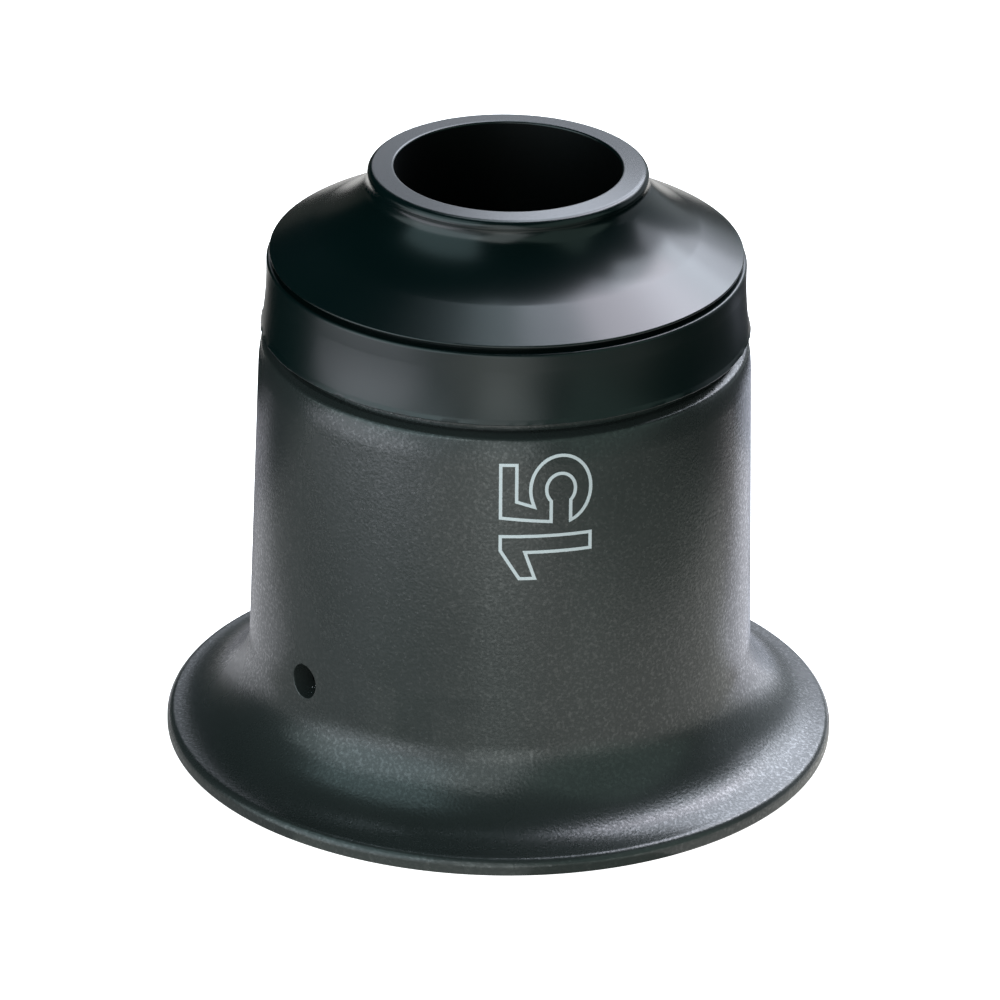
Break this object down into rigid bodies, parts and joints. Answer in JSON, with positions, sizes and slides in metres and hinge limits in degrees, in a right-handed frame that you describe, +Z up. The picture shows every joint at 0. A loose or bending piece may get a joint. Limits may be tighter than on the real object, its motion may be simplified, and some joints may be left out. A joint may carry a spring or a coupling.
{
  "type": "eye loupe",
  "caption": "High-power loupe held in the eye socket: a flared hollow eyecup and a screwed head with a ring-lipped nose that carries a plano-convex lens pair.",
  "frame": {"origin": "centre of the eyecup's rim, on the face that the loupe stands on", "axes": "+Z up the optical axis, from the rim to the lip that faces the work; -Y towards the side with the number"},
  "size_m": [0.035, 0.035, 0.0318],
  "materials": {
    "eyecup": "fine matte grain",
    "collar": "smooth satin",
    "nose": "semi-gloss",
    "lens": "polished and coated",
    "spacer": "dull black",
    "stop": "blackened",
    "ring": "satin"
  },
  "bodies": {
    "eyecup": {"eyecup": "eyecup"},
    "optics": {"front_lens": "lens", "front_spacer": "spacer", "field_stop": "stop", "rear_spacer": "spacer", "rear_lens": "lens"},
    "head": {"collar": "collar", "nose_cone": "nose", "retaining_ring": "ring"}
  },
  "joints": [
    {"name": "head_lift", "type": "slide", "parent": "eyecup", "child": "optics", "axis": [0, 0, 1], "range_m": [0, 0.003]},
    {"name": "head_turn", "type": "hinge", "parent": "optics", "child": "head", "pos_m": [0, 0, 0.02], "axis": [0, 0, 1], "range_deg": [0, 1440]}
  ],
  "couplings": [
    {"joint": "head_lift", "follows": "head_turn", "m_per_rad": 0.00011936}
  ]
}
